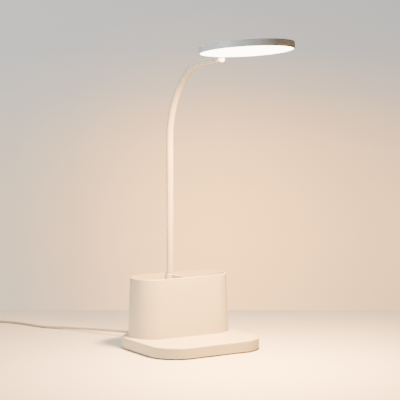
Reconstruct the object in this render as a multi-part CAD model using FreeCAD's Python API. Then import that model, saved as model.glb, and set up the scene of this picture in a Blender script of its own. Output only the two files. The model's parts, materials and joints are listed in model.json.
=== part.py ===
"""Desk lamp whose base plate carries a pen holder with two pockets.

A flexible neck rises from the back of the holder, bends forward and carries a round flat light.
Frame: the origin is on the table under the middle of the holder, +Z is up and the light
reaches out towards -Y. The lamp is symmetric about the plane X = 0, apart from its cord.
"""
import FreeCAD, Part
import math
import os

V = FreeCAD.Vector
UP = V(0, 0, 1)
DOWN = V(0, 0, -1)
BACK = V(0, 1, 0)

# ---------------------------------------------------------------- clearances, mm
PART_GAP = 0.2          # between moulded parts that drop into each other
SLIP_GAP = 0.1          # around a round piece pushed into its bore
NECK_JOINT_GAP = 0.25   # between the ball end and the socket of two neck links

# ---------------------------------------------------------------- pen holder, mm
HOLDER_HALF_STRAIGHT = 40.9   # half of the straight side between the two round ends
HOLDER_FOOT_R = 32.7          # end radius where the holder stands on the plate
HOLDER_RIM_R = 29.6           # end radius at the rim, so the walls lean in
HOLDER_HEIGHT = 78.7
HOLDER_WALL = 2.2
HOLDER_FLOOR = 2.4
FLOOR_LIFT = 4.0              # hollow under the floor, where the screw bosses are
RIM_ROUND = 0.8
POCKET_BEVEL = 1.5            # between the floor and the walls of a pocket
DIVIDER_WALL = 2.0
DIVIDER_DROP = 0.8            # top of the divider and of the neck's boss below the rim
NECK_BOSS_R = 6.0

# ---------------------------------------------------------------- base plate, mm
PLATE_MARGIN = 7.7            # plate outside the holder's foot, at the sides and the back
PLATE_FRONT = 101.5           # from the holder's middle to the front edge
PLATE_WALL = 2.2
PLATE_TOP_WALL = 2.4
PLATE_HEIGHT = 14.4
PLATE_TOP_ROUND = 1.6
PLATE_FOOT_BEVEL = 0.5
PAD_THICKNESS = 1.5
PAD_INSET = 3.0
COVER_THICKNESS = 2.0
RIB_WALL = 1.2

BALLAST_WIDTH = 116.0
BALLAST_DEPTH = 56.0
BALLAST_THICKNESS = 5.0
BALLAST_Y = -49.0
BALLAST_CORNER = 4.0

# ---------------------------------------------------------------- screws, mm
SCREW_R = 1.2
SCREW_BORE_R = 1.25
SCREW_HOLE_R = 1.6
BORE_SPARE = 0.5              # bore beyond the end of a screw
SCREW_HEAD_R = 2.7
SCREW_HEAD_HEIGHT = 1.5
BOSS_R = 3.4
COVER_SCREW_BESIDE = 8.0      # from the side of the ballast
COVER_SCREW_X = BALLAST_WIDTH / 2 + COVER_SCREW_BESIDE
COVER_SCREW_Y = (-70.0, -27.0, 14.0)
COVER_SCREW_LENGTH = 8.0
HOLDER_SCREW_X = 36.0
HOLDER_SCREW_Y = 17.0
HOLDER_SCREW_LENGTH = 7.0

# ---------------------------------------------------------------- neck, mm and degrees
NECK_R = 4.65
NECK_BORE_R = 2.3             # way for the wires
NECK_Y = 22.3
BEND_START_Z = 277.5
LOWER_BEND_R = 108.4
LOWER_BEND_TURN = 57.0
UPPER_BEND_R = 62.9
UPPER_BEND_TURN = 27.1
NECK_END_RUN = 49.1
NECK_LINKS = 12
FIRST_JOINT_LIFT = 3.4        # centre of the first joint above the holder's rim
STUD_R = 3.5
STUD_BELOW_NUT = 1.0
NUT_ACROSS_FLATS = 12.0
NUT_HEIGHT = 3.0
WASHER_R = 7.0
WASHER_THICKNESS = 0.8

# ---------------------------------------------------------------- light, mm
HEAD_R = 59.5
HEAD_HEIGHT = 9.0
HEAD_RIM_WALL = 1.6
HEAD_TOP_WALL = 1.6
HEAD_TOP_ROUND = 1.2
HEAD_FOOT_BEVEL = 0.4
NECK_TIP_BEHIND_RIM = 0.5
NECK_DROP = 1.3               # the neck's axis below the panel's underside
COLLAR_WALL = 0.8
COLLAR_LENGTH = 11.0
SET_SCREW_R = 1.4
DIFFUSER_RECESS = 0.4
DIFFUSER_THICKNESS = 1.5
GUIDE_THICKNESS = 3.0
REFLECTOR_THICKNESS = 0.3
STRIP_THICKNESS = 0.4
STRIP_WIDTH = 4.0
LED_COUNT = 36
LED_WIDTH = 3.0
LED_DEPTH = 0.8
LED_HEIGHT = 1.6
FOAM_OUTER_R = 50.0
FOAM_WIDTH = 8.0

# ---------------------------------------------------------------- electronics in the base, mm
BOARD_WIDTH = 46.0
BOARD_DEPTH = 22.0
BOARD_THICKNESS = 1.6
BOARD_X = 33.0
BOARD_Y = -2.0
BOARD_Z = 8.0                 # underside, where the parts are soldered
BOARD_SCREW_INSET = 3.5
BOARD_SCREW_LENGTH = 5.0
REGULATOR_WIDTH = 5.0
REGULATOR_DEPTH = 4.0
REGULATOR_HEIGHT = 1.5
CHOKE_R = 3.0
CHOKE_HEIGHT = 3.2
CAPACITOR_R = 2.5
CAPACITOR_HEIGHT = 4.0
CONNECTOR_WIDTH = 8.0
CONNECTOR_DEPTH = 5.0
CONNECTOR_HEIGHT = 3.5
ELECTRODE_WIDTH = 26.0
ELECTRODE_DEPTH = 13.0
ELECTRODE_THICKNESS = 0.4
ELECTRODE_Y = -88.0

# ---------------------------------------------------------------- cord, mm
CORD_R = 1.75
CORD_EXIT_X = -22.0
CORD_EXIT_Z = 8.0
GRIP_HOLE_R = 3.4
GRIP_FLANGE_R = 4.4
GRIP_FLANGE = 1.5
GRIP_TAPER = 14.0
GRIP_ROOT_R = 4.0
GRIP_TIP_R = 2.4
COIL_TURNS_WIDE = 3
COIL_LAYERS = 2
COIL_MEAN_R = 19.25
COIL_REACH = 12.0             # the lead touches the coil this far before it runs beside a turn
COIL_EDGE = 1.2               # bevel of the coil's outer and inner rims
PLUG_WIDTH = 15.6
PLUG_LENGTH = 24.0
PLUG_HEIGHT = 7.6
PLUG_ROUND = 1.6
PLUG_TAIL = 20.0              # cord between the coil's side and the plug
PLUG_METAL_WIDTH = 12.0
PLUG_METAL_LENGTH = 12.0
PLUG_METAL_HEIGHT = 4.5
PLUG_METAL_WALL = 0.4

# ---------------------------------------------------------------- heights and places that follow
SHELL_FOOT_Z = PAD_THICKNESS
COVER_TOP_Z = SHELL_FOOT_Z + COVER_THICKNESS
PLATE_TOP_Z = SHELL_FOOT_Z + PLATE_HEIGHT
PLATE_CEILING_Z = PLATE_TOP_Z - PLATE_TOP_WALL
RIM_Z = PLATE_TOP_Z + HOLDER_HEIGHT
FLOOR_BOTTOM_Z = PLATE_TOP_Z + FLOOR_LIFT
FLOOR_TOP_Z = FLOOR_BOTTOM_Z + HOLDER_FLOOR
PLATE_CORNER_R = HOLDER_FOOT_R + PLATE_MARGIN
PLATE_HALF_WIDTH = HOLDER_HALF_STRAIGHT + PLATE_CORNER_R
BALLAST_TOP_Z = COVER_TOP_Z + BALLAST_THICKNESS
FIRST_JOINT_S = RIM_Z + FIRST_JOINT_LIFT


# ================================================================ shared shapes
def slab_outline(inset, z):
    """Outline of the base plate, moved in by inset: a rectangle with large round corners."""
    r = PLATE_CORNER_R - inset
    x = PLATE_HALF_WIDTH - inset
    front = -PLATE_FRONT + inset
    back = PLATE_CORNER_R - inset
    k = r * math.sqrt(0.5)
    edges = []
    corners = ((x - r, back - r, 1, 1), (-x + r, back - r, -1, 1),
               (-x + r, front + r, -1, -1), (x - r, front + r, 1, -1))
    ends = []
    for cx, cy, sx, sy in corners:
        side = V(cx + sx * r, cy, z)
        middle = V(cx + sx * k, cy + sy * k, z)
        face = V(cx, cy + sy * r, z)
        first, last = (side, face) if sx == sy else (face, side)
        edges.append(Part.Arc(first, middle, last).toShape())
        ends.append((first, last))
    for i in range(4):
        edges.append(Part.LineSegment(ends[i][1], ends[(i + 1) % 4][0]).toShape())
    return Part.Wire(Part.sortEdges(edges)[0])


def slab(inset, z_low, z_high):
    """Solid slab with the base plate's outline."""
    return Part.Face(slab_outline(inset, z_low)).extrude(V(0, 0, z_high - z_low))


def stadium_outline(r, z):
    """Closed outline of two straight sides and two half circles of radius r."""
    c = HOLDER_HALF_STRAIGHT
    return Part.Wire([
        Part.LineSegment(V(-c, -r, z), V(c, -r, z)).toShape(),
        Part.Arc(V(c, -r, z), V(c + r, 0, z), V(c, r, z)).toShape(),
        Part.LineSegment(V(c, r, z), V(-c, r, z)).toShape(),
        Part.Arc(V(-c, r, z), V(-c - r, 0, z), V(-c, -r, z)).toShape()])


def holder_r(z):
    """Outer end radius of the leaning holder wall at height z."""
    share = (z - PLATE_TOP_Z) / HOLDER_HEIGHT
    return HOLDER_FOOT_R + (HOLDER_RIM_R - HOLDER_FOOT_R) * share


def holder_body(inset, z_low, z_high):
    """Solid between two heights, a wall thickness inset inside the holder's leaning surface."""
    low = stadium_outline(holder_r(z_low) - inset, z_low)
    high = stadium_outline(holder_r(z_high) - inset, z_high)
    return Part.makeLoft([low, high], True, True)


def box(width, depth, height, x, y, z):
    """Box centred on x and y that stands on the height z."""
    return Part.makeBox(width, depth, height, V(x - width / 2, y - depth / 2, z))


def edges_at(shape, z):
    """Edges of a shape that lie flat at height z."""
    return [e for e in shape.Edges if abs(e.BoundBox.ZMin - z) < 1e-4 and abs(e.BoundBox.ZMax - z) < 1e-4]


def countersunk_screw(x, y, z, length):
    """Countersunk screw, its flat head flush at height z and its shank upwards."""
    head = Part.makeCone(SCREW_HEAD_R, SCREW_R, SCREW_HEAD_HEIGHT, V(x, y, z), UP)
    shank = Part.makeCylinder(SCREW_R, length, V(x, y, z), UP)
    return head.fuse(shank).removeSplitter()


def pan_screw(x, y, z, length):
    """Pan-head screw, its head below the face at height z and its shank upwards."""
    head = Part.makeCylinder(SCREW_HEAD_R, SCREW_HEAD_HEIGHT, V(x, y, z - SCREW_HEAD_HEIGHT), UP)
    shank = Part.makeCylinder(SCREW_R, length, V(x, y, z), UP)
    return head.fuse(shank).removeSplitter()


COVER_SCREWS = [(sx * COVER_SCREW_X, y) for y in COVER_SCREW_Y for sx in (-1, 1)]
HOLDER_SCREWS = [(sx * HOLDER_SCREW_X, sy * HOLDER_SCREW_Y) for sx in (-1, 1) for sy in (-1, 1)]
BOARD_SCREW_REACH = BOARD_WIDTH / 2 - BOARD_SCREW_INSET
BOARD_SCREWS = [(BOARD_X + sx * BOARD_SCREW_REACH, BOARD_Y) for sx in (-1, 1)]


# ================================================================ the neck's centreline
def neck_pieces():
    """Straight and round pieces from the table upwards: start, heading from vertical, length, turn."""
    lower = math.radians(LOWER_BEND_TURN)
    upper = math.radians(UPPER_BEND_TURN)
    point, heading, pieces = V(0, NECK_Y, 0), 0.0, []
    for length, turn in ((BEND_START_Z, 0.0), (LOWER_BEND_R * lower, lower),
                         (UPPER_BEND_R * upper, upper), (NECK_END_RUN, 0.0)):
        pieces.append((point, heading, length, turn))
        point = walk(point, heading, length, turn, length)
        heading += turn
    return pieces


def walk(point, heading, length, turn, s):
    """Point reached after the distance s along a piece that turns forwards."""
    if turn == 0.0:
        return point + V(0, -math.sin(heading), math.cos(heading)) * s
    r = length / turn
    end = heading + s / r
    return point + V(0, math.cos(end) - math.cos(heading), math.sin(end) - math.sin(heading)) * r


NECK_PIECES = neck_pieces()
NECK_LENGTH = sum(piece[2] for piece in NECK_PIECES)
LINK_PITCH = (NECK_LENGTH - FIRST_JOINT_S) / NECK_LINKS
HEAD_TILT = 90.0 - LOWER_BEND_TURN - UPPER_BEND_TURN


def neck_at(s):
    """Point and tangent of the centreline at the distance s from the table."""
    for piece in NECK_PIECES:
        point, heading, length, turn = piece
        if s <= length or piece is NECK_PIECES[-1]:
            end = heading + turn * s / length
            return walk(point, heading, length, turn, s), V(0, -math.sin(end), math.cos(end))
        s -= length


def neck_path(s_low, s_high):
    """Wire along the centreline between two distances from the table."""
    edges, start = [], 0.0
    last = len(NECK_PIECES) - 1
    for i, (point, heading, length, turn) in enumerate(NECK_PIECES):
        low = max(s_low - start, 0.0)
        high = s_high - start if i == last else min(s_high - start, length)
        if high - low > 1e-6:
            a, b, c = (walk(point, heading, length, turn, s) for s in (low, (low + high) / 2, high))
            edges.append(Part.LineSegment(a, c).toShape() if turn == 0.0 else Part.Arc(a, b, c).toShape())
        start += length
    return Part.Wire(edges)


def neck_tube(s_low, s_high, r):
    """Round bar of radius r that follows the centreline."""
    point, tangent = neck_at(s_low)
    section = Part.Wire(Part.makeCircle(r, point, tangent))
    return neck_path(s_low, s_high).makePipeShell([section], True, True)


# ================================================================ base
def foot_pad():
    return slab(PAD_INSET, 0, PAD_THICKNESS)


def base_cover():
    """Bottom cover, sunk in the shell, with countersunk holes and low walls round the ballast."""
    cover = slab(PLATE_WALL + PART_GAP, SHELL_FOOT_Z, COVER_TOP_Z)
    width, depth, height = BALLAST_WIDTH + 2 * PART_GAP, BALLAST_DEPTH + 2 * PART_GAP, BALLAST_THICKNESS / 2
    room = box(width, depth, height, 0, BALLAST_Y, COVER_TOP_Z)
    wall = box(width + 2 * RIB_WALL, depth + 2 * RIB_WALL, height, 0, BALLAST_Y, COVER_TOP_Z)
    cover = cover.fuse(wall.cut(room))
    for x, y in COVER_SCREWS:
        foot = V(x, y, SHELL_FOOT_Z)
        sink = Part.makeCone(SCREW_HEAD_R + SLIP_GAP, SCREW_HOLE_R, SCREW_HEAD_HEIGHT, foot, UP)
        cover = cover.cut(sink).cut(Part.makeCylinder(SCREW_HOLE_R, COVER_THICKNESS, foot, UP))
    return cover.removeSplitter()


def cover_screws():
    screws = [countersunk_screw(x, y, SHELL_FOOT_Z, COVER_SCREW_LENGTH) for x, y in COVER_SCREWS]
    return Part.makeCompound(screws)


def ballast_plate():
    """Steel plate that keeps the lamp from tipping forwards."""
    plate = box(BALLAST_WIDTH, BALLAST_DEPTH, BALLAST_THICKNESS, 0, BALLAST_Y, COVER_TOP_Z)
    uprights = [e for e in plate.Edges if abs(e.tangentAt(e.FirstParameter).z) > 0.9]
    return plate.makeFillet(BALLAST_CORNER, uprights)


def base_shell():
    """Moulded plate: open below, with screw bosses, ribs that hold the ballast, and a cord hole."""
    shell = slab(0, SHELL_FOOT_Z, PLATE_TOP_Z)
    shell = shell.makeFillet(PLATE_TOP_ROUND, edges_at(shell, PLATE_TOP_Z))
    shell = shell.makeChamfer(PLATE_FOOT_BEVEL, edges_at(shell, SHELL_FOOT_Z))
    shell = shell.cut(slab(PLATE_WALL, SHELL_FOOT_Z, PLATE_CEILING_Z))
    added = []
    for x, y in COVER_SCREWS:
        added.append(Part.makeCylinder(BOSS_R, PLATE_CEILING_Z - COVER_TOP_Z, V(x, y, COVER_TOP_Z), UP))
    board_top = BOARD_Z + BOARD_THICKNESS
    for x, y in BOARD_SCREWS:
        added.append(Part.makeCylinder(BOSS_R, PLATE_CEILING_Z - board_top, V(x, y, board_top), UP))
    rib_z = BALLAST_TOP_Z + PART_GAP
    rib_height = PLATE_CEILING_Z - rib_z
    for share in (-0.4, 0.0, 0.4):
        x, y = share * BALLAST_WIDTH, BALLAST_Y + share * BALLAST_DEPTH
        added.append(box(BALLAST_WIDTH, RIB_WALL, rib_height, 0, y, rib_z))
        added.append(box(RIB_WALL, 0.8 * BALLAST_DEPTH, rib_height, x, BALLAST_Y, rib_z))
    shell = shell.fuse(added)
    for x, y in COVER_SCREWS:
        depth = COVER_SCREW_LENGTH - COVER_THICKNESS + BORE_SPARE
        shell = shell.cut(Part.makeCylinder(SCREW_BORE_R, depth, V(x, y, COVER_TOP_Z), UP))
    for x, y in BOARD_SCREWS:
        shell = shell.cut(Part.makeCylinder(SCREW_BORE_R, BOARD_SCREW_LENGTH, V(x, y, BOARD_Z), UP))
    for x, y in HOLDER_SCREWS:
        shell = shell.cut(Part.makeCylinder(SCREW_HOLE_R, PLATE_TOP_WALL, V(x, y, PLATE_CEILING_Z), UP))
    shell = shell.cut(Part.makeCylinder(STUD_R + SLIP_GAP, PLATE_TOP_WALL, V(0, NECK_Y, PLATE_CEILING_Z), UP))
    cord_way = V(CORD_EXIT_X, PLATE_CORNER_R - 1.5 * PLATE_WALL, CORD_EXIT_Z)
    cord_hole = Part.makeCylinder(GRIP_HOLE_R, 2 * PLATE_WALL, cord_way, BACK)
    return shell.cut(cord_hole).removeSplitter()


def holder_shell():
    """Tapered holder with a divider between its pockets, the neck's boss and screw bosses below."""
    outer = holder_body(0, PLATE_TOP_Z, RIM_Z)
    outer = outer.makeFillet(RIM_ROUND, edges_at(outer, RIM_Z))
    pocket = holder_body(HOLDER_WALL, FLOOR_TOP_Z, RIM_Z)
    pocket = pocket.makeChamfer(POCKET_BEVEL, edges_at(pocket, FLOOR_TOP_Z))
    under = holder_body(HOLDER_WALL, PLATE_TOP_Z, FLOOR_BOTTOM_Z)
    shell = outer.cut(pocket).cut(under)

    divider_top = RIM_Z - DIVIDER_DROP
    divider = box(DIVIDER_WALL, 2 * HOLDER_FOOT_R, divider_top - FLOOR_TOP_Z, 0, 0, FLOOR_TOP_Z)
    top_edges = [e for e in edges_at(divider, divider_top) if e.Length > HOLDER_FOOT_R]
    divider = divider.makeFillet(DIVIDER_WALL * 0.35, top_edges)
    boss = Part.makeCylinder(NECK_BOSS_R, divider_top - PLATE_TOP_Z, V(0, NECK_Y, PLATE_TOP_Z), UP)
    boss = boss.makeChamfer(RIM_ROUND, edges_at(boss, divider_top))
    inside = holder_body(HOLDER_WALL / 2, PLATE_TOP_Z, RIM_Z)
    added = [divider.common(inside), boss.common(inside)]
    for x, y in HOLDER_SCREWS:
        added.append(Part.makeCylinder(BOSS_R, FLOOR_LIFT, V(x, y, PLATE_TOP_Z), UP))
    shell = shell.fuse(added)

    neck_room = Part.makeCylinder(NECK_R + SLIP_GAP, HOLDER_HEIGHT, V(0, NECK_Y, PLATE_TOP_Z), UP)
    shell = shell.cut(neck_room)
    for x, y in HOLDER_SCREWS:
        depth = HOLDER_SCREW_LENGTH - PLATE_TOP_WALL + BORE_SPARE
        shell = shell.cut(Part.makeCylinder(SCREW_BORE_R, depth, V(x, y, PLATE_TOP_Z), UP))
    return shell.removeSplitter()


def holder_screws():
    screws = [pan_screw(x, y, PLATE_CEILING_Z, HOLDER_SCREW_LENGTH) for x, y in HOLDER_SCREWS]
    return Part.makeCompound(screws)


# ================================================================ neck
def half_ball(s, r):
    """Lower half of a ball of radius r on the centreline, its flat face across the neck."""
    point, tangent = neck_at(s)
    return Part.makeSphere(r, point, tangent, -90, 0, 360)


def neck_root():
    """Fixed foot of the neck: a threaded stud through the plate, and the first socket on top."""
    root = neck_tube(PLATE_TOP_Z, FIRST_JOINT_S, NECK_R)
    stud_z = PLATE_CEILING_Z - WASHER_THICKNESS - NUT_HEIGHT - STUD_BELOW_NUT
    root = root.fuse(Part.makeCylinder(STUD_R, PLATE_TOP_Z - stud_z, V(0, NECK_Y, stud_z), UP))
    root = root.cut(Part.makeSphere(NECK_R + NECK_JOINT_GAP, neck_at(FIRST_JOINT_S)[0]))
    return root.cut(Part.makeCylinder(NECK_BORE_R, FIRST_JOINT_S, V(0, NECK_Y, 0), UP)).removeSplitter()


def neck_link(number):
    """One length of the neck, with a ball end below and a socket for the next one above."""
    low = FIRST_JOINT_S + (number - 1) * LINK_PITCH
    high = low + LINK_PITCH
    link = neck_tube(low, high, NECK_R).fuse(half_ball(low, NECK_R)).removeSplitter()
    if number < NECK_LINKS:
        link = link.cut(Part.makeSphere(NECK_R + NECK_JOINT_GAP, neck_at(high)[0]))
    return link.cut(neck_tube(low - 1.2 * NECK_R, high, NECK_BORE_R))


def neck_washer():
    z = PLATE_CEILING_Z - WASHER_THICKNESS
    ring = Part.makeCylinder(WASHER_R, WASHER_THICKNESS, V(0, NECK_Y, z), UP)
    return ring.cut(Part.makeCylinder(STUD_R + SLIP_GAP, WASHER_THICKNESS, V(0, NECK_Y, z), UP))


def neck_nut():
    z = PLATE_CEILING_Z - WASHER_THICKNESS - NUT_HEIGHT
    corner_r = NUT_ACROSS_FLATS / math.sqrt(3)
    turns = [math.radians(60 * i) for i in range(7)]
    outline = Part.makePolygon([V(corner_r * math.cos(t), NECK_Y + corner_r * math.sin(t), z) for t in turns])
    nut = Part.Face(outline).extrude(V(0, 0, NUT_HEIGHT))
    return nut.cut(Part.makeCylinder(STUD_R + SLIP_GAP / 2, NUT_HEIGHT, V(0, NECK_Y, z), UP))


# ================================================================ light
# The light is built flat, its underside at height 0 and its centre at the origin, then placed on the neck.
CAVITY_R = HEAD_R - HEAD_RIM_WALL
CAVITY_TOP = HEAD_HEIGHT - HEAD_TOP_WALL
DIFFUSER_TOP = DIFFUSER_RECESS + DIFFUSER_THICKNESS
GUIDE_TOP = DIFFUSER_TOP + GUIDE_THICKNESS
REFLECTOR_TOP = GUIDE_TOP + REFLECTOR_THICKNESS
STRIP_OUTER_R = CAVITY_R - PART_GAP
STRIP_INNER_R = STRIP_OUTER_R - STRIP_THICKNESS
GUIDE_R = STRIP_INNER_R - LED_DEPTH - PART_GAP
NECK_TIP_Y = HEAD_R + NECK_TIP_BEHIND_RIM
COLLAR_R = NECK_R + SLIP_GAP + COLLAR_WALL
COLLAR_END_Y = NECK_TIP_Y + COLLAR_LENGTH
SET_SCREW_Y = NECK_TIP_Y + COLLAR_LENGTH / 2


def on_neck(shape):
    """Place a piece of the light, built flat, on the end of the neck."""
    turn = FreeCAD.Rotation(V(1, 0, 0), -HEAD_TILT)
    tip = neck_at(NECK_LENGTH)[0]
    centre = tip - turn.multVec(V(0, NECK_TIP_Y, -NECK_DROP))
    placed = shape.copy()
    placed.Placement = FreeCAD.Placement(centre, turn).multiply(shape.Placement)
    return placed


def head_shell():
    """Shallow round housing, open below, with a collar at the back that takes the neck."""
    disc = Part.makeCylinder(HEAD_R, HEAD_HEIGHT)
    disc = disc.makeFillet(HEAD_TOP_ROUND, edges_at(disc, HEAD_HEIGHT))
    disc = disc.makeChamfer(HEAD_FOOT_BEVEL, edges_at(disc, 0))
    axis_start = V(0, NECK_TIP_Y, -NECK_DROP)
    collar = Part.makeCylinder(COLLAR_R, COLLAR_LENGTH, axis_start, BACK)
    mouth = [e for e in collar.Edges if e.BoundBox.YMin > COLLAR_END_Y - 1e-4]
    collar = collar.makeFillet(COLLAR_WALL / 2, mouth)
    nose = Part.makeSphere(COLLAR_R, axis_start, BACK, -90, 0, 360)
    shell = disc.fuse([collar.fuse(nose).removeSplitter()])
    shell = shell.cut(Part.makeCylinder(CAVITY_R, CAVITY_TOP))
    shell = shell.cut(Part.makeCylinder(NECK_R + SLIP_GAP, COLLAR_LENGTH, axis_start, BACK))
    wire_way = V(0, CAVITY_R - HEAD_RIM_WALL, NECK_BORE_R)
    shell = shell.cut(Part.makeCylinder(NECK_BORE_R / 2, 3 * HEAD_RIM_WALL, wire_way, BACK))
    screw_way = V(0, SET_SCREW_Y, -NECK_DROP)
    shell = shell.cut(Part.makeCylinder(SET_SCREW_R + SLIP_GAP / 2, 2 * COLLAR_R, screw_way, UP))
    return on_neck(shell.removeSplitter())


def neck_set_screw():
    """Headless screw through the collar's top that pins the neck."""
    z = NECK_R - NECK_DROP + SLIP_GAP / 2
    return on_neck(Part.makeCylinder(SET_SCREW_R, COLLAR_WALL, V(0, SET_SCREW_Y, z), UP))


def diffuser():
    disc = Part.makeCylinder(CAVITY_R - PART_GAP, DIFFUSER_THICKNESS, V(0, 0, DIFFUSER_RECESS), UP)
    return on_neck(disc)


def light_guide():
    return on_neck(Part.makeCylinder(GUIDE_R, GUIDE_THICKNESS, V(0, 0, DIFFUSER_TOP), UP))


def reflector():
    return on_neck(Part.makeCylinder(GUIDE_R, REFLECTOR_THICKNESS, V(0, 0, GUIDE_TOP), UP))


def foam_ring():
    """Foam that presses the reflector and the guide down on the diffuser."""
    height = CAVITY_TOP - REFLECTOR_TOP
    ring = Part.makeCylinder(FOAM_OUTER_R, height, V(0, 0, REFLECTOR_TOP), UP)
    return on_neck(ring.cut(Part.makeCylinder(FOAM_OUTER_R - FOAM_WIDTH, height, V(0, 0, REFLECTOR_TOP), UP)))


def led_strip():
    """Flexible circuit that stands on edge round the light guide."""
    ring = Part.makeCylinder(STRIP_OUTER_R, STRIP_WIDTH, V(0, 0, DIFFUSER_TOP), UP)
    return on_neck(ring.cut(Part.makeCylinder(STRIP_INNER_R, STRIP_WIDTH, V(0, 0, DIFFUSER_TOP), UP)))


def leds():
    """Light-emitting diodes on the inside of the strip, facing the guide's edge."""
    chips = []
    flat_r = math.sqrt(STRIP_INNER_R ** 2 - (LED_WIDTH / 2) ** 2)
    foot = DIFFUSER_TOP + (GUIDE_THICKNESS - LED_HEIGHT) / 2
    for i in range(LED_COUNT):
        chip = box(LED_WIDTH, LED_DEPTH, LED_HEIGHT, 0, flat_r - LED_DEPTH / 2, foot)
        chip.rotate(V(0, 0, 0), UP, 360.0 * (i + 0.5) / LED_COUNT)
        chips.append(chip)
    return on_neck(Part.makeCompound(chips))


# ================================================================ electronics in the base
def driver_board():
    board = box(BOARD_WIDTH, BOARD_DEPTH, BOARD_THICKNESS, BOARD_X, BOARD_Y, BOARD_Z)
    for x, y in BOARD_SCREWS:
        board = board.cut(Part.makeCylinder(SCREW_HOLE_R, BOARD_THICKNESS, V(x, y, BOARD_Z), UP))
    return board


def board_parts():
    """Regulator, coil, storage capacitor and wire connector, soldered under the board."""
    front, back, side = BOARD_Y - BOARD_DEPTH / 4, BOARD_Y + BOARD_DEPTH / 5, BOARD_WIDTH / 6
    regulator = box(REGULATOR_WIDTH, REGULATOR_DEPTH, REGULATOR_HEIGHT,
                    BOARD_X - side, back, BOARD_Z - REGULATOR_HEIGHT)
    choke = Part.makeCylinder(CHOKE_R, CHOKE_HEIGHT, V(BOARD_X, front, BOARD_Z), DOWN)
    capacitor = Part.makeCylinder(CAPACITOR_R, CAPACITOR_HEIGHT, V(BOARD_X + side, back, BOARD_Z), DOWN)
    connector = box(CONNECTOR_WIDTH, CONNECTOR_DEPTH, CONNECTOR_HEIGHT,
                    BOARD_X + 1.2 * side, front, BOARD_Z - CONNECTOR_HEIGHT)
    return Part.makeCompound([regulator, choke, capacitor, connector])


def board_screws():
    screws = [pan_screw(x, y, BOARD_Z, BOARD_SCREW_LENGTH - BORE_SPARE) for x, y in BOARD_SCREWS]
    return Part.makeCompound(screws)


def touch_electrode():
    """Foil under the plate's front: a finger on the plate above it switches and dims the light."""
    foot = PLATE_CEILING_Z - ELECTRODE_THICKNESS
    return box(ELECTRODE_WIDTH, ELECTRODE_DEPTH, ELECTRODE_THICKNESS, 0, ELECTRODE_Y, foot)


# ================================================================ cord
GRIP_TIP_Y = PLATE_CORNER_R + GRIP_TAPER
CORD_ROUTE = [V(CORD_EXIT_X, GRIP_TIP_Y, CORD_EXIT_Z), V(-22, 66, 8.0), V(-33, 86, 7.5), V(-49, 120, 6.2),
              V(-66, 158, 4.2), V(-85, 194, 2.3), V(-101, 213, 1.8), V(-109, 240, 1.8), V(-119, 268, 1.8),
              V(-135, 291, 1.8), V(-146, 315, 1.8)]
COIL_HALF_WIDTH = COIL_TURNS_WIDE * CORD_R
COIL_HEIGHT = 2 * COIL_LAYERS * CORD_R
OUTER_TURN_R = COIL_MEAN_R + COIL_HALF_WIDTH - CORD_R
ARRIVAL = (CORD_ROUTE[-1] - CORD_ROUTE[-2]).normalize()
TOUCH_POINT = CORD_ROUTE[-1] + ARRIVAL * COIL_REACH
COIL_CENTRE = V(TOUCH_POINT.x - ARRIVAL.y * OUTER_TURN_R, TOUCH_POINT.y + ARRIVAL.x * OUTER_TURN_R, 0)
PLUG_AXIS_X = COIL_CENTRE.x - OUTER_TURN_R
PLUG_BACK_Y = COIL_CENTRE.y - PLUG_TAIL
PLUG_FRONT_Y = PLUG_BACK_Y - PLUG_LENGTH


def rounded_route(points):
    """Wire of straight runs and tangent arcs, each arc as large as its two runs allow."""
    edges, radii, start = [], [], points[0]
    for before, corner, after in zip(points, points[1:], points[2:]):
        into = (corner - before).normalize()
        out = (after - corner).normalize()
        turn = into.getAngle(out)
        reach = 0.45 * min(corner.distanceToPoint(before), corner.distanceToPoint(after))
        r = reach / math.tan(turn / 2)
        arc_start = corner - into * reach
        arc_end = corner + out * reach
        inward = (out - into).normalize()
        middle = corner + inward * (r / math.cos(turn / 2) - r)
        edges.append(Part.LineSegment(start, arc_start).toShape())
        edges.append(Part.Arc(arc_start, middle, arc_end).toShape())
        radii.append(round(r, 1))
        start = arc_end
    edges.append(Part.LineSegment(start, points[-1]).toShape())
    print("cord radii", radii)
    return Part.Wire(edges)


def cord():
    """The lead along its route to the coil, and the short tail from the coil to the plug."""
    path = rounded_route(CORD_ROUTE)
    direction = CORD_ROUTE[1] - CORD_ROUTE[0]
    section = Part.Wire(Part.makeCircle(CORD_R, CORD_ROUTE[0], direction))
    tube = path.makePipeShell([section], True, False)
    print("cord length", round(path.Length, 1), "volume", round(tube.Volume, 1),
          "section x length", round(math.pi * CORD_R ** 2 * path.Length, 1))
    tail_start = V(PLUG_AXIS_X, COIL_CENTRE.y - COIL_REACH, PLUG_HEIGHT / 2)
    tail = Part.makeCylinder(CORD_R, PLUG_TAIL - COIL_REACH, tail_start, V(0, -1, 0))
    return Part.makeCompound([tube, tail])


def cord_coil():
    """Outer shape of the wound spare length: a low ring with bevelled rims."""
    ring = Part.makeCylinder(COIL_MEAN_R + COIL_HALF_WIDTH, COIL_HEIGHT, COIL_CENTRE, UP)
    ring = ring.cut(Part.makeCylinder(COIL_MEAN_R - COIL_HALF_WIDTH, COIL_HEIGHT, COIL_CENTRE, UP))
    rims = edges_at(ring, 0) + edges_at(ring, COIL_HEIGHT)
    return ring.makeChamfer(COIL_EDGE, rims)


def plug_body():
    body = box(PLUG_WIDTH, PLUG_LENGTH, PLUG_HEIGHT, PLUG_AXIS_X, PLUG_BACK_Y - PLUG_LENGTH / 2, 0)
    long_edges = [e for e in body.Edges if abs(e.tangentAt(e.FirstParameter).y) > 0.9]
    return body.makeFillet(PLUG_ROUND, long_edges)


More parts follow.
